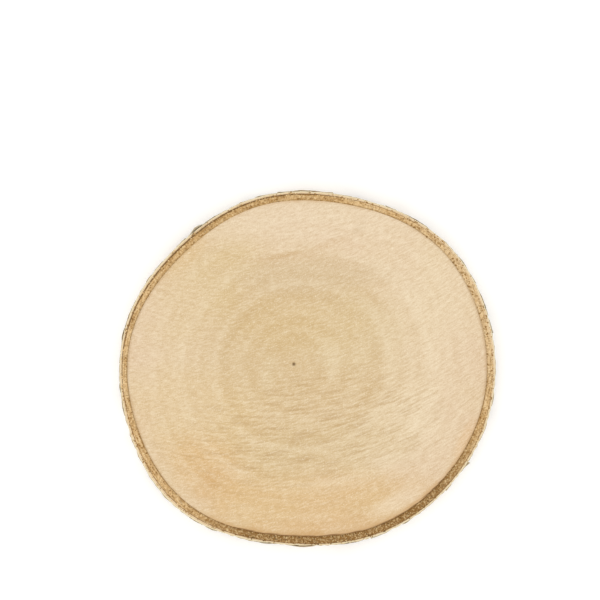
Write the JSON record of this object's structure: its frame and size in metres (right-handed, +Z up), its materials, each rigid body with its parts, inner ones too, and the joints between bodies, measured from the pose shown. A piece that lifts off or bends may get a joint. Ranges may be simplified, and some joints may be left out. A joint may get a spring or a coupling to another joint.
{
  "type": "birch wood slice",
  "caption": "Thin sawn slice of birch with its bark on, lying flat: a rustic base, coaster or table decoration with a smooth pale face and a white bark rim.",
  "frame": {"origin": "on the lower sawn face, under the middle of the slice", "axes": "+Z up through the slice, the way the stem grew; +X along its widest diameter; -Y is the front, the side of the bark that the picture shows"},
  "size_m": [0.2217, 0.2092, 0.02],
  "materials": {
    "sawn_wood": "matt, fine sawn",
    "inner_bark": "matt, granular, sawn across",
    "outer_bark": "papery, matt to slight sheen",
    "lenticel": "rough, corky"
  },
  "bodies": {
    "root": {"birch_slice": "sawn_wood"}
  },
  "joints": []
}
